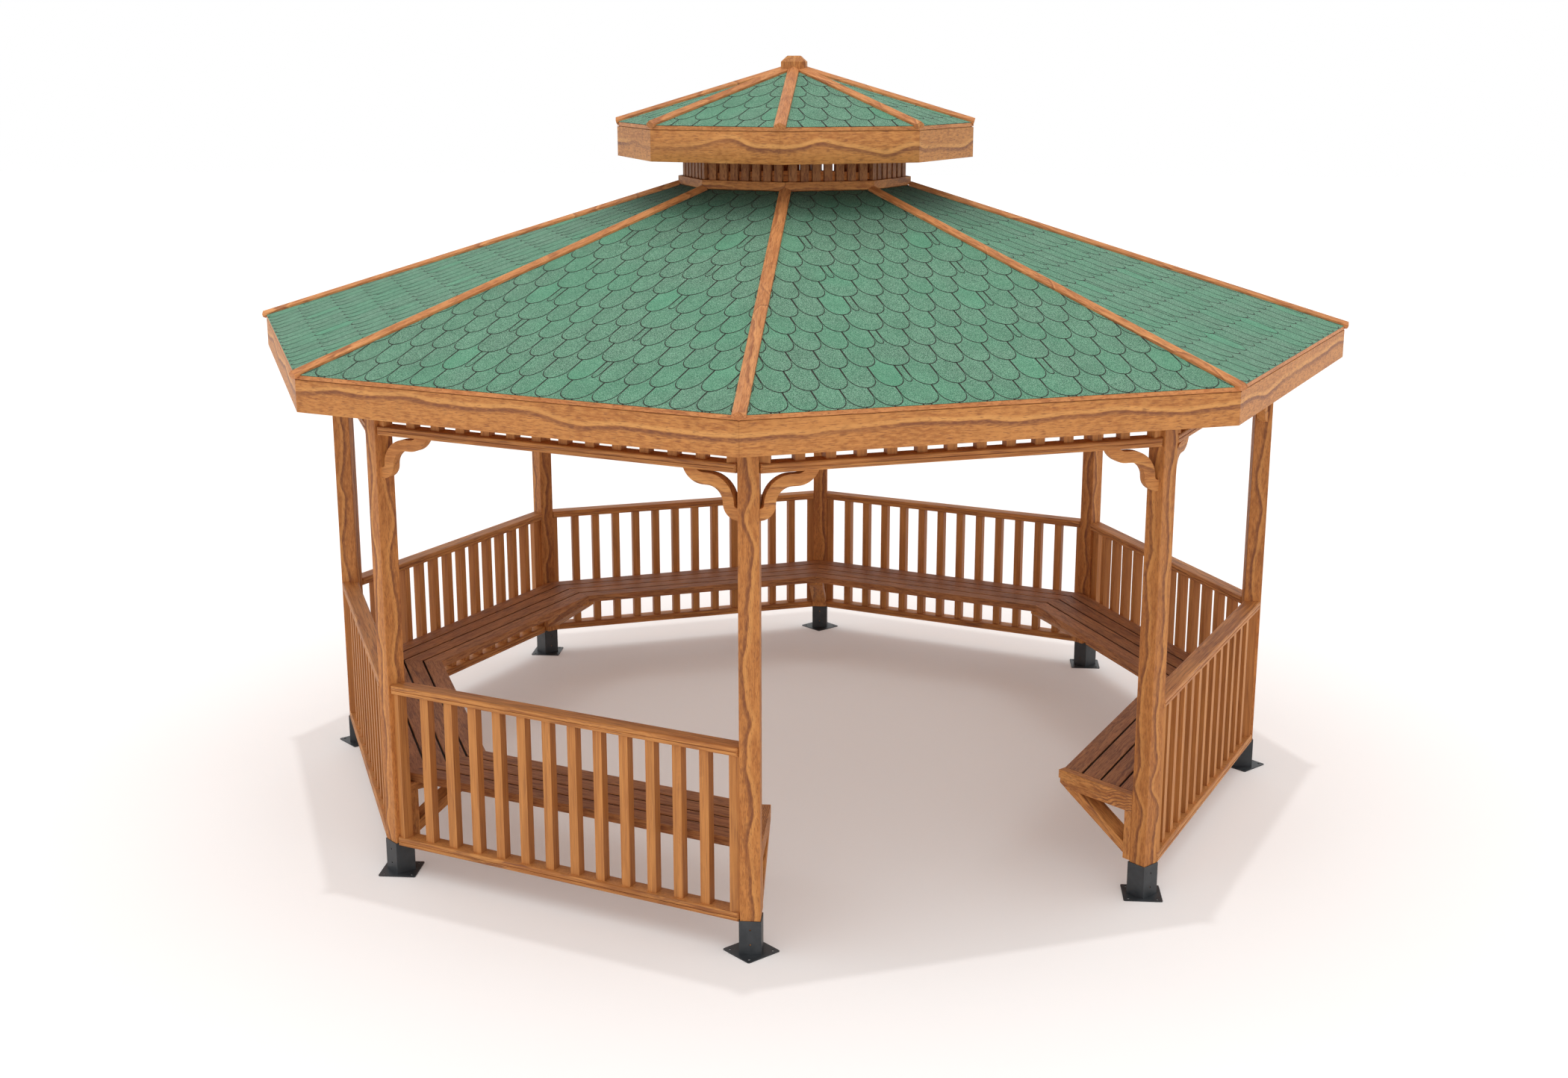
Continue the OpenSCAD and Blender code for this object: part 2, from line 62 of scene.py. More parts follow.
# Points from which the grain of the pieces is measured: outward, along the bay and up
RAIL_MIDDLE = (2.3235, 0.0, 0.9)
BALUSTER_MIDDLE = (2.3235, 0.0, 0.0)
BRACKET_MIDDLE = (2.3235, 0.0, 2.05)
BEAM_MIDDLE = (2.3235, 0.0, 2.35)
SEAT_MIDDLE = (2.06, 0.0, 0.467)
CLEAT_MIDDLE = (2.43, 0.0, 0.0)
BEARER_MIDDLE = (0.0, 0.0, 0.44)
BRACE_MIDDLE = (0.0, 0.0, 0.3)
ROOF_MIDDLE = (0.0, 0.0, 2.8)
RING_MIDDLE = (0.52, 0.0, 3.19)
SLAT_MIDDLE = (0.53, 0.0, 0.0)

# Inner edge of the first seat board, and the range in which the gaps between the boards lie
SEAT_START = 1.848
SEAT_FRONT = 1.86
SEAT_BACK = 2.25

# Boards of the roof boarding, and the pieces of its edge at the eave
BOARD_STEP = 0.095
BOARD_JOINT = 0.006
EDGE_STEP = 0.31

# Bays from the one after the seam of the eave boards' grain, at the left, to bay 0
RING_SEAM = 2.0

# Wood colours, linear: light, middle and vein
HONEY = ((0.62, 0.264, 0.076), (0.43, 0.157, 0.043), (0.205, 0.070, 0.034))
POST = ((0.57, 0.226, 0.060), (0.39, 0.133, 0.033), (0.180, 0.058, 0.026))
BENCH = ((0.46, 0.186, 0.064), (0.30, 0.106, 0.036), (0.090, 0.029, 0.014))
CAP = ((0.66, 0.272, 0.093), (0.49, 0.172, 0.053), (0.240, 0.074, 0.030))
# Painted shade: darker wood for the sides of the balusters, where they face each other in the row
SHADED = ((0.50, 0.196, 0.052), (0.345, 0.117, 0.029), (0.165, 0.054, 0.024))
# Painted shade: near-black wood for the sides of the seat boards in the gaps between them
GAP_SHADE = ((0.060, 0.024, 0.010), (0.040, 0.015, 0.006), (0.020, 0.007, 0.004))
BOARD = ((0.58, 0.300, 0.120), (0.47, 0.215, 0.078), (0.240, 0.095, 0.036))
JOINT = (0.03, 0.014, 0.007)
# Light wood times this is the bright band beside a vein
BAND_GAIN = (1.22, 1.38, 1.50)

# Noise in the wood, as cycles in a metre along and across the grain
DRIFT = (1.35, 0.8)
RIPPLE = (7.0, 8.0)
FLUTTER = (22.0, 30.0)
SWING = (2.3, 0.5)
FADE = (1.9, 3.0)
RAGGED = (36.0, 120.0)
LINE_FADE = (4.0, 9.0)
MOTTLE = (24.0, 80.0)
STREAK = (11.0, 150.0)
CLOUD = (2.6, 9.0)
QUILT = (22.0, 15.0)
FIBRE = (30.0, 420.0)
FLECKS_ACROSS = 230.0
# Ranges of that noise in which swing, fraying, growth lines, light wood and flecks come in
SWING_RANGE = (0.32, 0.68)
FRAY_RANGE = (0.35, 0.60)
LINE_RANGE = (0.36, 0.62)
LIGHT_RANGE = (0.39, 0.57)
FLECK_RANGE = (0.55, 0.66)

# Fine growth lines in a metre across the layers, and from where to where a line fades
LINES = 135.0
LINE_SIDE = (0.05, 0.32)
# Flutter of the layers as a share of their sway, and least and added swing as shares of snake
FLUTTER_SHARE = 0.2
LEAST_SWING = 0.2
ADDED_SWING = 1.5
# How far drift moves the phase of the swing, in radians
SWING_DRIFT = 11.0
# What fraying leaves of a vein at least, and what the strip by it adds to the flecks
VEIN_LEAST = 0.55
FLECKS_BY_VEIN = 0.05
# Shares of mottles, streaks and clouds in the wood between the veins
MOTTLE_SHARE = 0.5
STREAK_SHARE = 0.25
CLOUD_SHARE = 0.25
# Strength of the bright bands and of the flecks
BAND_STRENGTH = 0.85
FLECK_STRENGTH = 0.55
# Brightness of a piece: least, spread from piece to piece, quilting within it
TONE_LEAST = 0.95
TONE_SPREAD = 0.10
TONE_QUILT = 0.30
# Oiled surface: relief of flecks and joints, roughness as a least value and a spread, bump, gloss
FLECK_RELIEF = -0.6
JOINT_RELIEF = 4.0
WOOD_ROUGH = (0.46, 0.18)
WOOD_BUMP = 0.25
WOOD_RELIEF = 0.0006
WOOD_GLOSS = 0.25

# Sides of a vein, of the bright band and of the flecked strip by it, as offsets from the layer in vein widths
VEIN_OUT = (-1.7, -0.5)
FLECKED_OUT = (-3.0, -1.0)
VEIN_IN = (0.25, -0.15)
BAND_IN = (-0.1, 0.5)
BAND_OUT = (1.9, 0.8)

# What makes the random number of a piece from its sector and from its cell outward and along the bay
SECTOR_KEY = 7.13
CELL_KEYS = (3.71, 4.71)
# Range over which the pieces are spread along the endless grain, in metres
GRAIN_SPREAD = 20.0

# Axes along, across and through the grain, of outward, along the bay and up
GRAIN_AXES = {"out": (0, 1, 2), "along": (1, 0, 2), "up": (2, 0, 1)}


class Layout(NamedTuple):
    """How pieces of timber lie in the eight sectors."""

    # Direction of the grain, "out", "along" or "up", and of the middle of the first sector
    run: str
    first_angle: float
    # Point from which the grain is measured: outward, along the bay, up
    centre: tuple = (0.0, 0.0, 0.0)
    # Spacing of like pieces outward and along the bay, each with its own grain, and where the first begins
    cell: tuple = (0.0, 0.0)
    start: tuple = (0.0, 0.0)
    # Width of the dark joint lines between them
    joints: float = 0.0
    # Slope at which a raked piece falls outward
    fall: float = 0.0
    # Length of a side of a ring of boards whose grain runs on from board to board
    side: float = 0.0


class Grain(NamedTuple):
    """How the grain of a timber is drawn, with lengths in metres."""

    # Broad dark veins: strength, distance apart, width, and the range of noise in which they come and go
    veins: float = 0.8
    spacing: float = 0.090
    width: float = 0.010
    fading: tuple = (0.28, 0.62)
    # Layers that the veins follow: slant and offset, each as a least value and a spread
    lean: tuple = (0.3, 1.2)
    shift: tuple = (0.0, 0.3)
    # How far the layers drift along a piece, ripple, and swing once in each period
    wander: float = 0.22
    sway: float = 0.040
    snake: float = 0.0
    period: float = 0.5
    # Strength of the fine growth lines and of the light and dark flecks, and dark flecks in a metre
    lines: float = 0.2
    figure: float = 1.0
    flecks: float = 42.0
    # Below 1, calm draws out the veins along the piece, and straight the fine detail
    calm: float = 1.0
    straight: float = 1.0


POST_GRAIN = Grain(veins=0.8, spacing=0.10, width=0.013, fading=(0.16, 0.46), lean=(0.85, 0.3),
                   shift=(-0.06, 0.03), wander=0.08, sway=0.030, snake=0.014, period=0.47, figure=0.75)
RAIL_GRAIN = Grain(veins=0.35, figure=1.25, straight=0.16)
BALUSTER_GRAIN = Grain(veins=0.12, lines=0.10, figure=0.55, straight=0.12)
BRACKET_GRAIN = Grain(figure=0.75, straight=0.5)
SEAT_GRAIN = Grain(veins=0.4, lines=0.35, straight=0.4)
BEARER_GRAIN = Grain(veins=0.5, lines=0.8)
BRACE_GRAIN = Grain(straight=0.5)
EAVE_GRAIN = Grain(veins=0.9, spacing=0.13, width=0.015, lean=(1.0, 0.1), shift=(-0.02, 0.04), wander=0.12,
                   sway=0.025, lines=0.1, flecks=24.0, calm=0.5)
LOWER_EAVE_GRAIN = EAVE_GRAIN._replace(snake=0.011, period=0.9, fading=(0.24, 0.52))
UPPER_EAVE_GRAIN = EAVE_GRAIN._replace(snake=0.019, period=0.65, fading=(0.28, 0.56))
CAP_GRAIN = Grain(veins=0.6, snake=0.03, period=0.45, straight=0.5)
QUIET_GRAIN = Grain(veins=0.3)
PLAIN_GRAIN = Grain()

# Rounded edges of the sawn timbers: width and pieces
EDGES = (
    (0.0025, ("lantern_base_ring", "lower_hip_caps", "upper_hip_caps", "finial")),
    (0.0020, ("frieze_brackets", "lantern_slats", "bench_bearers", "bench_braces", "bench_cleats",
              "bench_end_boards")),
    (0.0015, ("lower_roof_boarding", "upper_roof_boarding")),
    (0.0012, ("lower_fascia", "upper_fascia")),
)
EDGE_SEGMENTS = 2
EDGE_ANGLE = math.radians(30)
WELD = 0.00002


class Graph:
    """A short way to write the nodes of a material."""

    def __init__(self, name):
        self.material = bpy.data.materials.new(name)
        self.material.use_nodes = True
        self.tree = self.material.node_tree
        self.tree.nodes.clear()

    def put(self, socket, value):
        if isinstance(value, bpy.types.NodeSocket):
            self.tree.links.new(value, socket)
        else:
            socket.default_value = value

    def add(self, kind, *values, **settings):
        node = self.tree.nodes.new("ShaderNode" + kind)
        for key, value in settings.items():
            setattr(node, key, value)
        for socket, value in zip(node.inputs, values):
            self.put(socket, value)
        return node

    def math(self, operation, *values):
        return self.add("Math", *values, operation=operation).outputs[0]

    def vector(self, x, y, z):
        return self.add("CombineXYZ", x, y, z).outputs[0]

    def parts(self, vector):
        return self.add("SeparateXYZ", vector).outputs

    def place(self):
        return self.add("TexCoord").outputs["Object"]

    def noise(self, vector, scale=1.0, detail=2.0, roughness=0.5):
        node = self.add("TexNoise", noise_dimensions="3D")
        self.put(node.inputs["Vector"], vector)
        self.put(node.inputs["Scale"], scale)
        self.put(node.inputs["Detail"], detail)
        self.put(node.inputs["Roughness"], roughness)
        return node.outputs[0]

    def ramp(self, value, low, high):
        """A smooth step: 0 at low, 1 at high."""
        node = self.add("MapRange", interpolation_type="SMOOTHSTEP", clamp=True)
        self.put(node.inputs["Value"], value)
        self.put(node.inputs["From Min"], low)
        self.put(node.inputs["From Max"], high)
        return node.outputs[0]

    def mix(self, factor, a, b):
        node = self.add("Mix", data_type="RGBA")
        self.put(node.inputs[0], factor)
        for socket, value in ((node.inputs[6], a), (node.inputs[7], b)):
            self.put(socket, value if isinstance(value, bpy.types.NodeSocket) else (*value, 1.0))
        return node.outputs[2]

    def blend(self, colour, other, factor, strength):
        """The colour, mixed with another one by a factor times a strength."""
        return self.mix(self.math("MULTIPLY", factor, strength), colour, other)

    def scale_colour(self, colour, factor):
        node = self.add("Mix", data_type="RGBA", blend_type="MULTIPLY")
        grey = self.add("CombineColor", factor, factor, factor).outputs[0]
        self.put(node.inputs[0], 1.0)
        self.put(node.inputs[6], colour)
        self.put(node.inputs[7], grey)
        return node.outputs[2]

    def sector(self, first_angle):
        """Place within one of the eight sectors (outward, along, up) and the sector's number."""
        place = self.place()
        x, y, _ = self.parts(place)
        turn = self.math("SUBTRACT", self.math("ARCTAN2", y, x), first_angle)
        number = self.math("ROUND", self.math("DIVIDE", turn, SECTOR))
        angle = self.math("MULTIPLY_ADD", number, SECTOR, first_angle)
        local = self.add("VectorRotate", place, rotation_type="Z_AXIS")
        self.put(local.inputs["Angle"], self.math("MULTIPLY", angle, -1.0))
        return self.parts(local.outputs[0]), self.math("FLOORED_MODULO", number, float(SIDES))

    def finish(self, colour, roughness, bump=None, strength=0.2, distance=0.001, specular=0.5):
        """The finished material; bump is a height, with its strength and its distance in metres."""
        shader = self.add("BsdfPrincipled")
        self.put(shader.inputs["Base Color"], colour)
        self.put(shader.inputs["Roughness"], roughness)
        self.put(shader.inputs["Specular IOR Level"], specular)
        if bump is not None:
            node = self.add("Bump")
            self.put(node.inputs["Strength"], strength)
            self.put(node.inputs["Distance"], distance)
            self.put(node.inputs["Height"], bump)
            self.put(shader.inputs["Normal"], node.outputs[0])
        output = self.add("OutputMaterial")
        self.put(output.inputs["Surface"], shader.outputs[0])
        return self.material


class Timber(Graph):
    """Oiled timber with growth layers, veins and flecks, and a grain of its own on each piece."""

    def __init__(self, name, layout, grain, seed):
        super().__init__(name)
        self.layout, self.grain, self.joint = layout, grain, None
        local, number = self.sector(layout.first_angle)
        chance = self.add("TexWhiteNoise", noise_dimensions="1D")
        self.put(chance.inputs["W"], self.piece_key(local, number, seed))
        self.chances = self.parts(chance.outputs["Color"])
        self.length, self.across, self.depth = self.measures(local, number)

    def piece_key(self, local, number, seed):
        """A number for each piece; also draws the joint lines between the cells."""
        cell, start, joints = self.layout.cell, self.layout.start, self.layout.joints
        key = seed if self.layout.side else self.math("MULTIPLY_ADD", number, SECTOR_KEY, seed)
        for axis in (0, 1):
            if cell[axis]:
                index = self.math("DIVIDE", self.math("SUBTRACT", local[axis], start[axis]), cell[axis])
                key = self.math("MULTIPLY_ADD", self.math("FLOOR", index), CELL_KEYS[axis], key)
                if joints:
                    edge = self.math("PINGPONG", index, 0.5)
                    self.joint = self.ramp(edge, 0.5 * joints / cell[axis], joints / cell[axis])
        return key

    def measures(self, local, number):
        """Place in the piece along, across and through its grain."""
        layout = self.layout
        moved = [self.math("SUBTRACT", local[i], layout.centre[i]) for i in range(3)]
        if layout.fall:
            out, along, up = moved
            sine, cosine = math.sin(layout.fall), math.cos(layout.fall)
            moved = [self.math("MULTIPLY_ADD", up, -sine, self.math("MULTIPLY", out, cosine)), along,
                     self.math("MULTIPLY_ADD", up, cosine, self.math("MULTIPLY", out, sine))]
        length, across, depth = (moved[i] for i in GRAIN_AXES[layout.run])
        length = self.math("MULTIPLY_ADD", self.chances[0], GRAIN_SPREAD, length)
        if layout.side:
            turned = self.math("FLOORED_MODULO", self.math("ADD", number, RING_SEAM), float(SIDES))
            length = self.math("MULTIPLY_ADD", turned, layout.side, length)
        return length, across, depth

    def drawn(self, cycles, detail, stretch=1.0, roughness=0.5):
        """Noise with so many cycles in a metre along and across the grain."""
        along, sideways = cycles
        place = self.vector(self.math("MULTIPLY", self.length, along * stretch),
                            self.math("MULTIPLY", self.across, sideways),
                            self.math("MULTIPLY", self.depth, sideways))
        return self.noise(place, 1.0, detail, roughness)

    def centred(self, cycles):
        """Calm noise from -0.5 to 0.5."""
        return self.math("SUBTRACT", self.drawn(cycles, 1.0, self.grain.calm), 0.5)

    def layers(self):
        """Growth layers that lean through the piece, wander along it, ripple a little and swing."""
        grain = self.grain
        slant = self.math("MULTIPLY_ADD", self.chances[2], grain.lean[1], grain.lean[0])
        offset = self.math("MULTIPLY_ADD", self.chances[1], grain.shift[1], grain.shift[0])
        layer = self.math("MULTIPLY_ADD", self.depth, slant, self.math("ADD", self.across, offset))
        drift = self.centred(DRIFT)
        layer = self.math("MULTIPLY_ADD", drift, grain.wander, layer)
        layer = self.math("MULTIPLY_ADD", self.centred(RIPPLE), grain.sway, layer)
        layer = self.math("MULTIPLY_ADD", self.centred(FLUTTER), FLUTTER_SHARE * grain.sway, layer)
        if grain.snake:
            turns = self.math("MULTIPLY", self.length, 2 * math.pi / grain.period)
            phase = self.math("MULTIPLY_ADD", drift, SWING_DRIFT, turns)
            swing = self.ramp(self.drawn(SWING, 1.0), *SWING_RANGE)
            swing = self.math("MULTIPLY_ADD", swing, ADDED_SWING * grain.snake, LEAST_SWING * grain.snake)
            layer = self.math("MULTIPLY_ADD", self.math("SINE", phase), swing, layer)
        return layer

    def strip(self, off, *sides):
        """1 in a strip beside a layer, from its two sides, which are given in vein widths."""
        width = self.grain.width
        return self.math("MULTIPLY", *(self.ramp(off, low * width, high * width) for low, high in sides))

    def vein_strips(self, layer):
        """The vein, dark on one side of its layer and frayed; the bright band; the flecked strip."""
        spacing = self.grain.spacing
        turn = self.math("FRACT", self.math("MULTIPLY_ADD", layer, 1.0 / spacing, 0.5))
        off = self.math("MULTIPLY", self.math("SUBTRACT", turn, 0.5), spacing)
        fade = self.ramp(self.drawn(FADE, 2.0, self.grain.calm), *self.grain.fading)
        vein = self.math("MULTIPLY", self.strip(off, VEIN_OUT, VEIN_IN), fade)
        band = self.math("MULTIPLY", self.strip(off, BAND_IN, BAND_OUT), fade)
        flecked = self.math("MULTIPLY", self.strip(off, FLECKED_OUT, VEIN_IN), fade)
        frayed = self.ramp(self.drawn(RAGGED, 2.0), *FRAY_RANGE)
        vein = self.math("MULTIPLY", vein, self.math("MULTIPLY_ADD", frayed, 1 - VEIN_LEAST, VEIN_LEAST))
        return vein, band, flecked

    def growth_lines(self, layer):
        line = self.math("PINGPONG", self.math("MULTIPLY", layer, LINES), 0.5)
        line = self.math("SUBTRACT", 1.0, self.ramp(line, *LINE_SIDE))
        return self.math("MULTIPLY", line, self.ramp(self.drawn(LINE_FADE, 1.0), *LINE_RANGE))

    def ground(self, light, middle):
        """The wood between the veins, light and middle by mottles, clouds and streaks."""
        grain = self.grain
        mottle = self.drawn(MOTTLE, 3.0, grain.straight, 0.6)
        streak = self.drawn(STREAK, 2.0, grain.straight, 0.6)
        cloud = self.drawn(CLOUD, 2.0, grain.calm)
        amount = self.math("MULTIPLY_ADD", mottle, MOTTLE_SHARE, self.math("MULTIPLY", cloud, CLOUD_SHARE))
        amount = self.math("MULTIPLY_ADD", streak, STREAK_SHARE, amount)
        amount = self.math("MULTIPLY_ADD", self.math("SUBTRACT", amount, 0.5), grain.figure, 0.5)
        return self.mix(self.ramp(amount, *LIGHT_RANGE), middle, light)

    def piece_tone(self):
        """Brightness, a little different on each piece and quilted within it."""
        tone = self.math("MULTIPLY_ADD", self.chances[1], TONE_SPREAD, TONE_LEAST)
        quilt = self.math("SUBTRACT", self.drawn(QUILT, 2.0, self.grain.straight), 0.5)
        return self.math("MULTIPLY_ADD", quilt, TONE_QUILT * self.grain.figure, tone)

    def oiled(self, tones):
        """The finished material, in light, middle and vein colours."""
        light, middle, dark = tones
        grain, layer = self.grain, self.layers()
        vein, band, flecked = self.vein_strips(layer)
        fleck = self.drawn((grain.flecks, FLECKS_ACROSS), 2.0, grain.straight)
        fleck = self.ramp(self.math("MULTIPLY_ADD", flecked, FLECKS_BY_VEIN, fleck), *FLECK_RANGE)
        fibre = self.drawn(FIBRE, 3.0, roughness=0.6)
        bright = tuple(c * gain for c, gain in zip(light, BAND_GAIN))
        colour = self.ground(light, middle)
        colour = self.blend(colour, bright, band, BAND_STRENGTH * grain.veins)
        colour = self.blend(colour, dark, vein, grain.veins)
        colour = self.blend(colour, dark, self.growth_lines(layer), grain.lines)
        colour = self.blend(colour, dark, fleck, FLECK_STRENGTH * grain.figure)
        colour = self.scale_colour(colour, self.piece_tone())
        height = self.math("MULTIPLY_ADD", fleck, FLECK_RELIEF, fibre)
        if self.joint is not None:
            colour = self.mix(self.joint, JOINT, colour)
            height = self.math("MULTIPLY_ADD", self.joint, JOINT_RELIEF, height)
        roughness = self.math("MULTIPLY_ADD", fibre, WOOD_ROUGH[1], WOOD_ROUGH[0])
        return self.finish(colour, roughness, height, WOOD_BUMP, WOOD_RELIEF, WOOD_GLOSS)


def wood(name, tones, layout, grain=PLAIN_GRAIN, seed=0.0):
    return Timber(name, layout, grain, seed).oiled(tones)


def steel(name):
    """Dark grey coating with a fine orange-peel surface."""
    g = Graph(name)
    place = g.place()
    peel = g.noise(place, 900.0, 2.0)
    dust = g.noise(place, 14.0, 4.0, 0.6)
    colour = g.mix(g.ramp(dust, 0.35, 0.75), (0.026, 0.030, 0.034), (0.046, 0.051, 0.056))
    return g.finish(colour, g.math("MULTIPLY_ADD", dust, 0.2, 0.38), peel, 0.12, 0.0004)


# Heights between which the lower roof ends and the upper one begins, in metres
ROOFS_PART = (3.30, 3.35)
# Distances from the middle between which painted shade under the lantern fades out on the lower shingles
LANTERN_SHADE = (0.52, 1.32)
# Added to the distance on the upper roof, which keeps the upper roof clear of the painted shade
UNSHADED_LIFT = 2.0


def granules(name):
    """Green mineral granules, with a tone stored on each tab, and painted shade that darkens the lower roof
    near the lantern.
    """
    g = Graph(name)
    place = g.place()
    grain = g.noise(place, 210.0, 3.0, 0.8)
    speck = g.noise(place, 400.0, 1.0)
    colour = g.mix(g.ramp(grain, 0.41, 0.59), (0.016, 0.088, 0.047), (0.186, 0.398, 0.250))
    colour = g.blend(colour, (0.40, 0.57, 0.46), g.ramp(speck, 0.54, 0.64), 0.80)
    colour = g.blend(colour, (0.018, 0.052, 0.034), g.ramp(speck, 0.45, 0.35), 0.80)
    tone = g.add("Attribute", attribute_name="tone").outputs["Fac"]
    colour = g.blend(colour, (0.100, 0.400, 0.225), tone, 0.6)
    patch = g.ramp(g.noise(place, 2.6, 2.0), 0.42, 0.66)
    colour = g.blend(colour, (0.060, 0.300, 0.160), patch, 0.20)
    cloud = g.noise(place, 9.0, 3.0)
    colour = g.scale_colour(colour, g.math("MULTIPLY_ADD", cloud, 0.4, 0.77))
    # Painted shade: the lower shingles darken towards the lantern's ring
    x, y, z = g.parts(place)
    reach = g.math("SQRT", g.math("MULTIPLY_ADD", x, x, g.math("MULTIPLY", y, y)))
    reach = g.math("MULTIPLY_ADD", g.ramp(z, *ROOFS_PART), UNSHADED_LIFT, reach)
    colour = g.scale_colour(colour, g.math("MULTIPLY_ADD", g.ramp(reach, *LANTERN_SHADE), 0.58, 0.42))
    return g.finish(colour, 0.85, grain, 0.4, 0.0015, specular=0.3)


def bitumen(name, dark, light):
    """Bare bitumen of a shingle's edge and backing, with a few granules left on it; also the painted shade in
    the slots between tabs.
    """
    g = Graph(name)
    grain = g.noise(g.place(), 300.0, 2.0)
    return g.finish(g.mix(grain, dark, light), 0.85, grain, 0.3, 0.001)


def paint(names, material):
    for name in names:
        mesh = nodes[name].data
        mesh.materials.clear()
        mesh.materials.append(material)
        for face in mesh.polygons:
            face.material_index = 0


def paint_where(names, material, test):
    """Gives one more material to the faces that pass the test."""
    for name in names:
        mesh = nodes[name].data
        mesh.materials.append(material)
        for face in mesh.polygons:
            if test(face):
                face.material_index = len(mesh.materials) - 1


# Most upward part of a face's normal that counts as upright, and least part along a direction it looks in
UPRIGHT = 0.1
NEARLY_UPRIGHT = 0.2
ALIGNED = 0.9


def between(low, high):
    """A test for faces whose middle lies between two heights."""
    return lambda face: low < face.center.z < high


def bay_turn(face):
    """Angle from the first bay to the bay that a face is in, and from there to the face."""
    turn = math.atan2(face.center.y, face.center.x) - FIRST_BAY
    bay = SECTOR * round(turn / SECTOR)
    return bay, turn - bay


def outward(face):
    """Distance of a face from the middle, square to its bay."""
    return math.hypot(face.center.x, face.center.y) * math.cos(bay_turn(face)[1])


def faces_out(face):
    """True for an upright face that looks away from the middle."""
    reach = face.normal.x * face.center.x + face.normal.y * face.center.y
    return abs(face.normal.z) < UPRIGHT and reach > ALIGNED * math.hypot(face.center.x, face.center.y)


def faces_along(face):
    """True for an upright face that looks along its bay."""
    angle = FIRST_BAY + bay_turn(face)[0]
    return abs(face.normal.y * math.cos(angle) - face.normal.x * math.sin(angle)) > ALIGNED


def in_seat_gap(face):
    """True for an upright face between two seat boards."""
    return abs(face.normal.z) < NEARLY_UPRIGHT and SEAT_FRONT < outward(face) < SEAT_BACK


def starting(prefix):
    return [name for name in nodes if name.startswith(prefix)]


def paint_posts():
    post_r = -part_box("post_front")[0].y - POST_W / 2
    posts = Layout("up", FIRST_POST, (post_r, 0.0, 0.0))
    paint(starting("post_"), wood("post_wood", POST, posts, POST_GRAIN, 1.0))
    paint(["post_feet"], steel("foot_steel"))


def paint_railings():
    """Grain along the rails of railings and frieze, upright on the balusters, with painted shade darkening
    their sides.
    """
    rails = wood("rail_wood", HONEY, Layout("along", FIRST_BAY, RAIL_MIDDLE), RAIL_GRAIN, 2.0)
    row = Layout("up", FIRST_BAY, BALUSTER_MIDDLE, (0.0, BALUSTER_STEP), (0.0, BALUSTER_STEP / 2))
    balusters = wood("baluster_wood", HONEY, row, BALUSTER_GRAIN, 3.0)
    # Painted shade on the sides of the balusters, which face each other along the row
    baluster_painted_shade = wood("baluster_painted_shade_wood", SHADED, row, BALUSTER_GRAIN, 20.0)
    railings = starting("railing_")
    low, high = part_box("railing_front_left")
    between_rails = between(low.z + RAIL_T, high.z - RAIL_T)
    paint(railings, rails)
    paint_where(railings, balusters, between_rails)
    paint_where(railings, baluster_painted_shade, lambda face: between_rails(face) and faces_along(face))
    low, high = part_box("frieze_panels")
    paint(["frieze_panels"], rails)
    paint_where(["frieze_panels"], balusters, between(low.z + RAIL_T, high.z))
    brackets = Layout("along", FIRST_BAY, BRACKET_MIDDLE, (0.0, 1.0))
    paint(["frieze_brackets"], wood("bracket_wood", HONEY, brackets, BRACKET_GRAIN, 4.0))
    beams = Layout("along", FIRST_BAY, BEAM_MIDDLE)
    paint(["head_beams"], wood("beam_wood", HONEY, beams, seed=5.0))


def paint_benches():
    frames = ("bench_cleats", "bench_braces", "bench_bearers", "bench_end_boards")
    seats = [name for name in starting("bench_") if name not in frames]
    boards = Layout("along", FIRST_BAY, SEAT_MIDDLE, (SEAT_STEP, 0.0), (SEAT_START, 0.0))
    paint(seats, wood("bench_wood", BENCH, boards, SEAT_GRAIN, 6.0))
    # Painted shade on the sides of the seat boards in the gaps between them
    gaps = Layout("along", FIRST_BAY, SEAT_MIDDLE)
    paint_where(seats, wood("bench_gap_painted_shade", GAP_SHADE, gaps, seed=19.0), in_seat_gap)
    cleats = Layout("up", FIRST_POST, CLEAT_MIDDLE)
    paint(["bench_cleats"], wood("cleat_wood", HONEY, cleats, seed=7.0))
    bearers = Layout("out", FIRST_POST, BEARER_MIDDLE, (0.0, 1.0), (0.0, -0.5))
    paint(["bench_bearers", "bench_end_boards"], wood("bearer_wood", HONEY, bearers, BEARER_GRAIN, 8.0))
    braces = Layout("out", FIRST_POST, BRACE_MIDDLE, fall=BRACE_FALL)
    paint(["bench_braces"], wood("brace_wood", HONEY, braces, BRACE_GRAIN, 9.0))


def paint_roofs():
    for name, grain, seed in (("lower_fascia", LOWER_EAVE_GRAIN, 10.0),
                              ("upper_fascia", UPPER_EAVE_GRAIN, 31.0)):
        low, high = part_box(name)
        face_n = high.x * math.cos(HALF)
        middle = (face_n, 0.0, (low.z + high.z) / 2)
        ring = Layout("along", FIRST_BAY, middle, side=2 * face_n * math.tan(HALF))
        paint([name], wood(name + "_wood", HONEY, ring, grain, seed))
    for caps, rafters, pitch, seed in (("lower_hip_caps", "hip_rafters", ROOF_PITCH, 12.0),
                                       ("upper_hip_caps", "upper_rafters", UPPER_PITCH, 14.0)):
        hips = Layout("out", FIRST_POST, ROOF_MIDDLE, fall=math.atan(math.tan(pitch) * math.cos(HALF)))
        paint([caps], wood(caps + "_wood", CAP, hips, CAP_GRAIN, seed))
        paint([rafters], wood(rafters + "_wood", HONEY, hips, seed=seed + 1.0))
    boarding = ["lower_roof_boarding", "upper_roof_boarding"]
    boards = Layout("along", FIRST_BAY, ROOF_MIDDLE, (BOARD_STEP, 0.0), joints=BOARD_JOINT)
    paint(boarding, wood("boarding_wood", BOARD, boards, seed=13.0))
    edges = Layout("along", FIRST_BAY, ROOF_MIDDLE, (0.0, EDGE_STEP))
    paint_where(boarding, wood("eave_edge_wood", CAP, edges, QUIET_GRAIN, 18.0), faces_out)


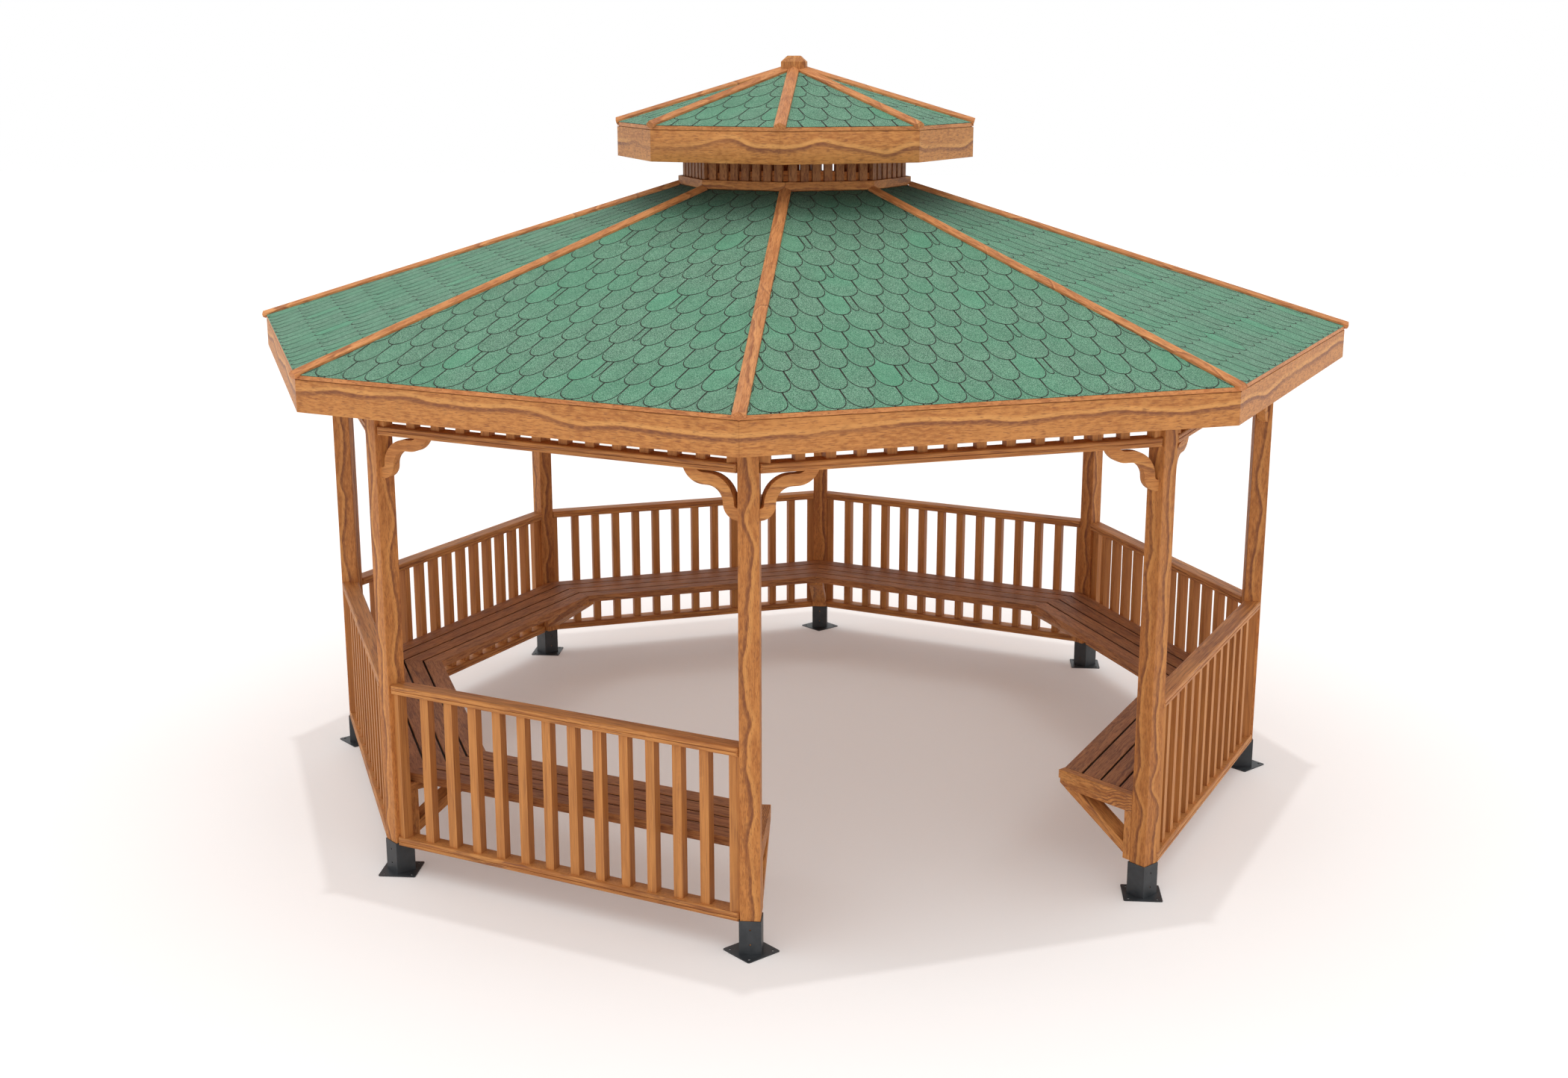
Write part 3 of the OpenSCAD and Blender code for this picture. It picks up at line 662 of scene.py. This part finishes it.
def paint_lantern():
    ring = Layout("along", FIRST_BAY, RING_MIDDLE)
    rings = ["lantern_curb", "lantern_base_ring", "lantern_top_plate"]
    paint(rings, wood("ring_wood", POST, ring, seed=15.0))
    slats = Layout("up", FIRST_BAY, SLAT_MIDDLE, (0.0, SLAT_STEP), (0.0, SLAT_STEP / 2))
    paint(["lantern_slats"], wood("slat_wood", BENCH, slats, QUIET_GRAIN, 16.0))
    paint(["finial", "king_block"], wood("finial_wood", HONEY, Layout("up", FIRST_BAY), seed=17.0))


def soften_edges():
    for width, names in EDGES:
        for name in names:
            weld = nodes[name].modifiers.new("weld", "WELD")
            weld.merge_threshold = WELD
            bevel = nodes[name].modifiers.new("edges", "BEVEL")
            bevel.width = width
            bevel.segments = EDGE_SEGMENTS
            bevel.limit_method = "ANGLE"
            bevel.angle_limit = EDGE_ANGLE
            bevel.use_clamp_overlap = True


# Shingle pattern, in metres along the eave and up the slope
TAB_W = 0.121
FILLER_W = 0.035
WIDE_W = 0.156
PERIOD = 5 * TAB_W + FILLER_W
EXPOSURES = (0.160, 0.180, 0.168, 0.162)
TAB_LENGTH = 0.290
TAB_ROUND = 0.088
TAB_STEPS = 12
FILLER_ROUND = 0.03
FILLER_LIFT = 0.036
# Slot between two tabs, which holds painted shade, and what shows of the bitumen backing below and beside the
# granules, a dark rim that paints a shade line round them
SLOT = 0.0024
RIM = 0.0052
SIDE_RIM = 0.0028
# Height of the granules over the boarding at a tab's lower and upper end, and thickness of its layers
LIFT = 0.0028
TAIL_LIFT = 0.0008
BACKING_T = 0.0006
GRANULE_T = 0.0004
SLOT_T = 0.0003
SEAT_GAP = 0.0006
STARTER_LENGTH = 0.17
STARTER_T = 0.0006
# Tones of the tabs; one tab of every fourth course is bright
TAB_TONES = (0.0, 0.22)
BRIGHT_TONES = (0.45, 0.60)
BRIGHT_COURSE = 1
BRIGHT_TAB = 5
# Where the shingles end: under the lantern's ring, and near the point of the upper roof
RING_LAP = 0.006
POINT_N = 0.04
# Lower ends of the first courses, up the slope from the eave
LOWER_FIRST = 0.008 - EXPOSURES[3]
UPPER_FIRST = -0.070

# Materials of a shingle: granules, bitumen edge, and painted shade in the slots
FACE, EDGE, SLOT_SHADE = 0, 1, 2


def tab_outline(left, right, low, high, round_h):
    """A tab with straight sides and a rounded lower end, counter-clockwise."""
    middle, half_w = (left + right) / 2, (right - left) / 2
    points = []
    for i in range(TAB_STEPS + 1):
        a = math.pi + math.pi * i / TAB_STEPS
        points.append((middle + half_w * math.cos(a), low + round_h * (1 + math.sin(a))))
    return points + [(right, high), (left, high)]


def clipped(points, a, b, c):
    """The part of a convex outline where a*s + b*d <= c."""
    kept = []
    for i, p in enumerate(points):
        q = points[i - 1]
        over_p = a * p[0] + b * p[1] - c
        over_q = a * q[0] + b * q[1] - c
        if (over_p <= 0) != (over_q <= 0):
            t = over_q / (over_q - over_p)
            kept.append((q[0] + t * (p[0] - q[0]), q[1] + t * (p[1] - q[1])))
        if over_p <= 0:
            kept.append(p)
    return kept


class Slope:
    """The eight like slopes of a roof, with their shingles collected as one mesh."""

    def __init__(self, eave_n, edge_z, pitch, end_n, square=0.0):
        """square is half the side of a square block that stands on the point of the roof."""
        self.eave_n, self.edge_z, self.pitch, self.square = eave_n, edge_z, pitch, square
        self.length = (eave_n - end_n) / math.cos(pitch)
        self.points, self.faces, self.surfaces, self.tones = [], [], [], []

    def place(self, bay, s, d, h):
        """A point of a bay: s along the eave, d up the slope, h over the boarding."""
        out = self.eave_n - d * math.cos(self.pitch) + h * math.sin(self.pitch)
        up = self.edge_z + d * math.sin(self.pitch) + h * math.cos(self.pitch)
        a = FIRST_BAY + SECTOR * bay
        return (out * math.cos(a) - s * math.sin(a), out * math.sin(a) + s * math.cos(a), up)

    def fit(self, bay, outline):
        """The outline within the slope: between the two hip caps, the eave and the upper end."""
        taper = math.cos(self.pitch) * math.tan(HALF)
        reach = self.eave_n * math.tan(HALF) - (CAP_W / 2 + SEAT_GAP) / math.cos(HALF)
        limits = [(1, taper, reach), (-1, taper, reach), (0, -1, 0.0), (0, 1, self.length)]
        if self.square:
            turn = HALF if bay % 2 else -HALF
            room = self.eave_n * math.cos(turn) - self.square
            limits.append((-math.sin(turn), math.cos(self.pitch) * math.cos(turn), room))
        for a, b, c in limits:
            outline = clipped(outline, a, b, c) if len(outline) > 2 else []
        return outline if len(outline) > 2 else []

    def slab(self, bay, outline, low, top_h, thick, fall, surface, tone=0.0):
        """A thin layer with its top at top_h at the lower end, from where it falls towards the boarding."""
        outline = self.fit(bay, outline)
        if not outline:
            return
        first, count = len(self.points), len(outline)
        for drop in (0.0, thick):
            for s, d in outline:
                self.points.append(self.place(bay, s, d, top_h - drop - fall * (d - low)))
        self.faces.append(list(range(first, first + count)))
        for i in range(count):
            j = (i + 1) % count
            self.faces.append([first + i, first + count + i, first + count + j, first + j])
        self.surfaces += [surface] * (count + 1)
        self.tones += [tone] * (count + 1)

    def tab(self, bay, low, left, right, tone):
        """One tab: the slot beside it with painted shade, its bitumen backing, whose dark rim round the
        granules paints a shade line, and its granules.
        """
        filler = right - left < TAB_W / 2
        lower = low + FILLER_LIFT if filler else low
        round_h = FILLER_ROUND if filler else TAB_ROUND
        top, slot_low = low + TAB_LENGTH, low + TAB_ROUND
        fall = (LIFT - TAIL_LIFT) / TAB_LENGTH
        inset = SLOT / 2 + SIDE_RIM
        slot = [(right - SLOT, slot_low), (right + SLOT, slot_low), (right + SLOT, top), (right - SLOT, top)]
        backing = tab_outline(left + SLOT / 2, right - SLOT / 2, lower - RIM, top, round_h)
        face = tab_outline(left + inset, right - inset, lower, top, round_h)
        # Painted shade: a dark strip under the slot, standing in for the shade in it
        self.slab(bay, slot, low, LIFT - GRANULE_T - BACKING_T, SLOT_T, fall, SLOT_SHADE)
        self.slab(bay, backing, low, LIFT - GRANULE_T, BACKING_T, fall, EDGE)
        self.slab(bay, face, low, LIFT, GRANULE_T, fall, FACE, tone)

    def course(self, bay, low, number, chance):
        """A row of tabs across a bay, with a wide one or a narrow filler in each period."""
        widths = [WIDE_W] + [TAB_W] * 4 if number % 2 == 0 else [FILLER_W] + [TAB_W] * 5
        extent = self.eave_n * math.tan(HALF) + PERIOD
        s = -PERIOD * math.ceil(extent / PERIOD) - PERIOD / 2
        while s < extent:
            left = s - widths[0] / 2
            for i, width in enumerate(widths):
                tone = chance.uniform(*TAB_TONES)
                if number % len(EXPOSURES) == BRIGHT_COURSE and i == BRIGHT_TAB:
                    tone = chance.uniform(*BRIGHT_TONES)
                self.tab(bay, low, left, left + width, tone)
                left += width
            s += PERIOD

    def starter(self, bay):
        """A dark strip under the first courses."""
        reach = self.eave_n
        strip = [(-reach, 0.0), (reach, 0.0), (reach, STARTER_LENGTH), (-reach, STARTER_LENGTH)]
        self.slab(bay, strip, 0.0, STARTER_T, STARTER_T, 0.0, EDGE)

    def lay(self, first_low, first_number, chance):
        """Lays all courses, from the one whose lower end and number are given."""
        for bay in range(SIDES):
            self.starter(bay)
            low, number = first_low, first_number
            while low < self.length:
                self.course(bay, low, number, chance)
                low += EXPOSURES[number % len(EXPOSURES)]
                number += 1

    def mesh(self, name, materials):
        mesh = bpy.data.meshes.new(name)
        mesh.from_pydata(self.points, [], self.faces)
        for material in materials:
            mesh.materials.append(material)
        mesh.polygons.foreach_set("material_index", self.surfaces)
        tone = mesh.attributes.new("tone", "FLOAT", "FACE")
        tone.data.foreach_set("value", self.tones)
        mesh.update()
        piece = bpy.data.objects.new(name, mesh)
        bpy.context.scene.collection.objects.link(piece)
        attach(piece, "root")


def eave(boarding, fascia, pitch):
    """Distance of an eave from the middle, square to a bay, and height of the boarding's top there."""
    edge_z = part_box(boarding)[0].z + DECK_T / math.cos(pitch)
    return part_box(fascia)[1].x * math.cos(HALF), edge_z


def lay_shingles():
    # Granules, bitumen edge and backing, and the painted shade that darkens the slots between tabs
    materials = (granules("shingle_granules"),
                 bitumen("shingle_edge", (0.009, 0.010, 0.007), (0.026, 0.026, 0.017)),
                 bitumen("shingle_slot_painted_shade", (0.016, 0.009, 0.007), (0.044, 0.023, 0.017)))
    ring_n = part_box("lantern_base_ring")[1].x * math.cos(HALF)
    lower_n, lower_z = eave("lower_roof_boarding", "lower_fascia", ROOF_PITCH)
    lower = Slope(lower_n, lower_z, ROOF_PITCH, ring_n - RING_LAP)
    lower.lay(LOWER_FIRST, -1, random.Random(11))
    lower.mesh("lower_shingles", materials)
    upper_n, upper_z = eave("upper_roof_boarding", "upper_fascia", UPPER_PITCH)
    upper = Slope(upper_n, upper_z, UPPER_PITCH, POINT_N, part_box("finial")[1].x + SEAT_GAP)
    upper.lay(UPPER_FIRST, 0, random.Random(12))
    upper.mesh("upper_shingles", materials)


# Camera, fitted to the photograph: metres, radians, and a lens in mm for the sensor
CAMERA_PLACE = (0.7413, -10.0741, 3.7539)
CAMERA_YAW = -0.0787
CAMERA_FALL = 0.2437
LENS = 43.365
SENSOR = 36.0
VIEW_END = 200.0


def set_camera():
    camera = bpy.data.objects.new("camera", bpy.data.cameras.new("camera"))
    bpy.context.scene.collection.objects.link(camera)
    level = math.cos(CAMERA_FALL)
    aim = Vector((math.sin(CAMERA_YAW) * level, math.cos(CAMERA_YAW) * level, -math.sin(CAMERA_FALL)))
    camera.location = CAMERA_PLACE
    camera.rotation_euler = aim.to_track_quat("-Z", "Y").to_euler()
    camera.data.sensor_width = SENSOR
    camera.data.lens = LENS
    camera.data.clip_end = VIEW_END
    bpy.context.scene.camera = camera


# Studio floor and light
FLOOR_REACH = 60.0
FLOOR_DARK = (0.93, 0.91, 0.90)
FLOOR_LIGHT = (0.95, 0.93, 0.92)
FLOOR_GLOW = 0.115
GLOW_COLOUR = (1.0, 0.92, 0.88, 1.0)
SKY = (1.0, 1.0, 1.0, 1.0)
SKY_STRENGTH = 1.0
SUN_STRENGTH = 0.45
SUN_ANGLE = math.radians(1.5)


def lift_floor(g):
    """Adds a little light of its own to the floor, as the camera sees it, for a pale studio ground."""
    output = next(n for n in g.tree.nodes if n.type == "OUTPUT_MATERIAL")
    surface = output.inputs["Surface"].links[0].from_socket
    path = g.add("LightPath").outputs
    mirrored = g.math("MAXIMUM", path["Is Glossy Ray"], path["Is Transmission Ray"])
    seen = g.math("MAXIMUM", path["Is Camera Ray"], mirrored)
    glow = g.add("Emission")
    g.put(glow.inputs["Color"], GLOW_COLOUR)
    g.put(glow.inputs["Strength"], g.math("MULTIPLY", seen, FLOOR_GLOW))
    g.put(output.inputs["Surface"], g.add("AddShader", surface, glow.outputs[0]).outputs[0])


def set_stage():
    corners = [(x * FLOOR_REACH, y * FLOOR_REACH, 0.0) for x, y in ((-1, -1), (1, -1), (1, 1), (-1, 1))]
    floor_mesh = bpy.data.meshes.new("floor")
    floor_mesh.from_pydata(corners, [], [(0, 1, 2, 3)])
    floor = bpy.data.objects.new("floor", floor_mesh)
    bpy.context.scene.collection.objects.link(floor)
    g = Graph("floor_paint")
    colour = g.mix(g.noise(g.place(), 0.6, 2.0), FLOOR_DARK, FLOOR_LIGHT)
    floor_mesh.materials.append(g.finish(colour, 0.9, specular=0.0))
    lift_floor(g)

    world = bpy.data.worlds.new("studio")
    bpy.context.scene.world = world
    world.use_nodes = True
    background = world.node_tree.nodes["Background"]
    background.inputs["Color"].default_value = SKY
    background.inputs["Strength"].default_value = SKY_STRENGTH

    sun = bpy.data.objects.new("overhead", bpy.data.lights.new("overhead", "SUN"))
    sun.data.energy = SUN_STRENGTH
    sun.data.angle = SUN_ANGLE
    bpy.context.scene.collection.objects.link(sun)
    bpy.context.scene.view_settings.view_transform = "Standard"


paint_posts()
paint_railings()
paint_benches()
paint_roofs()
paint_lantern()
soften_edges()
lay_shingles()
set_camera()
set_stage()
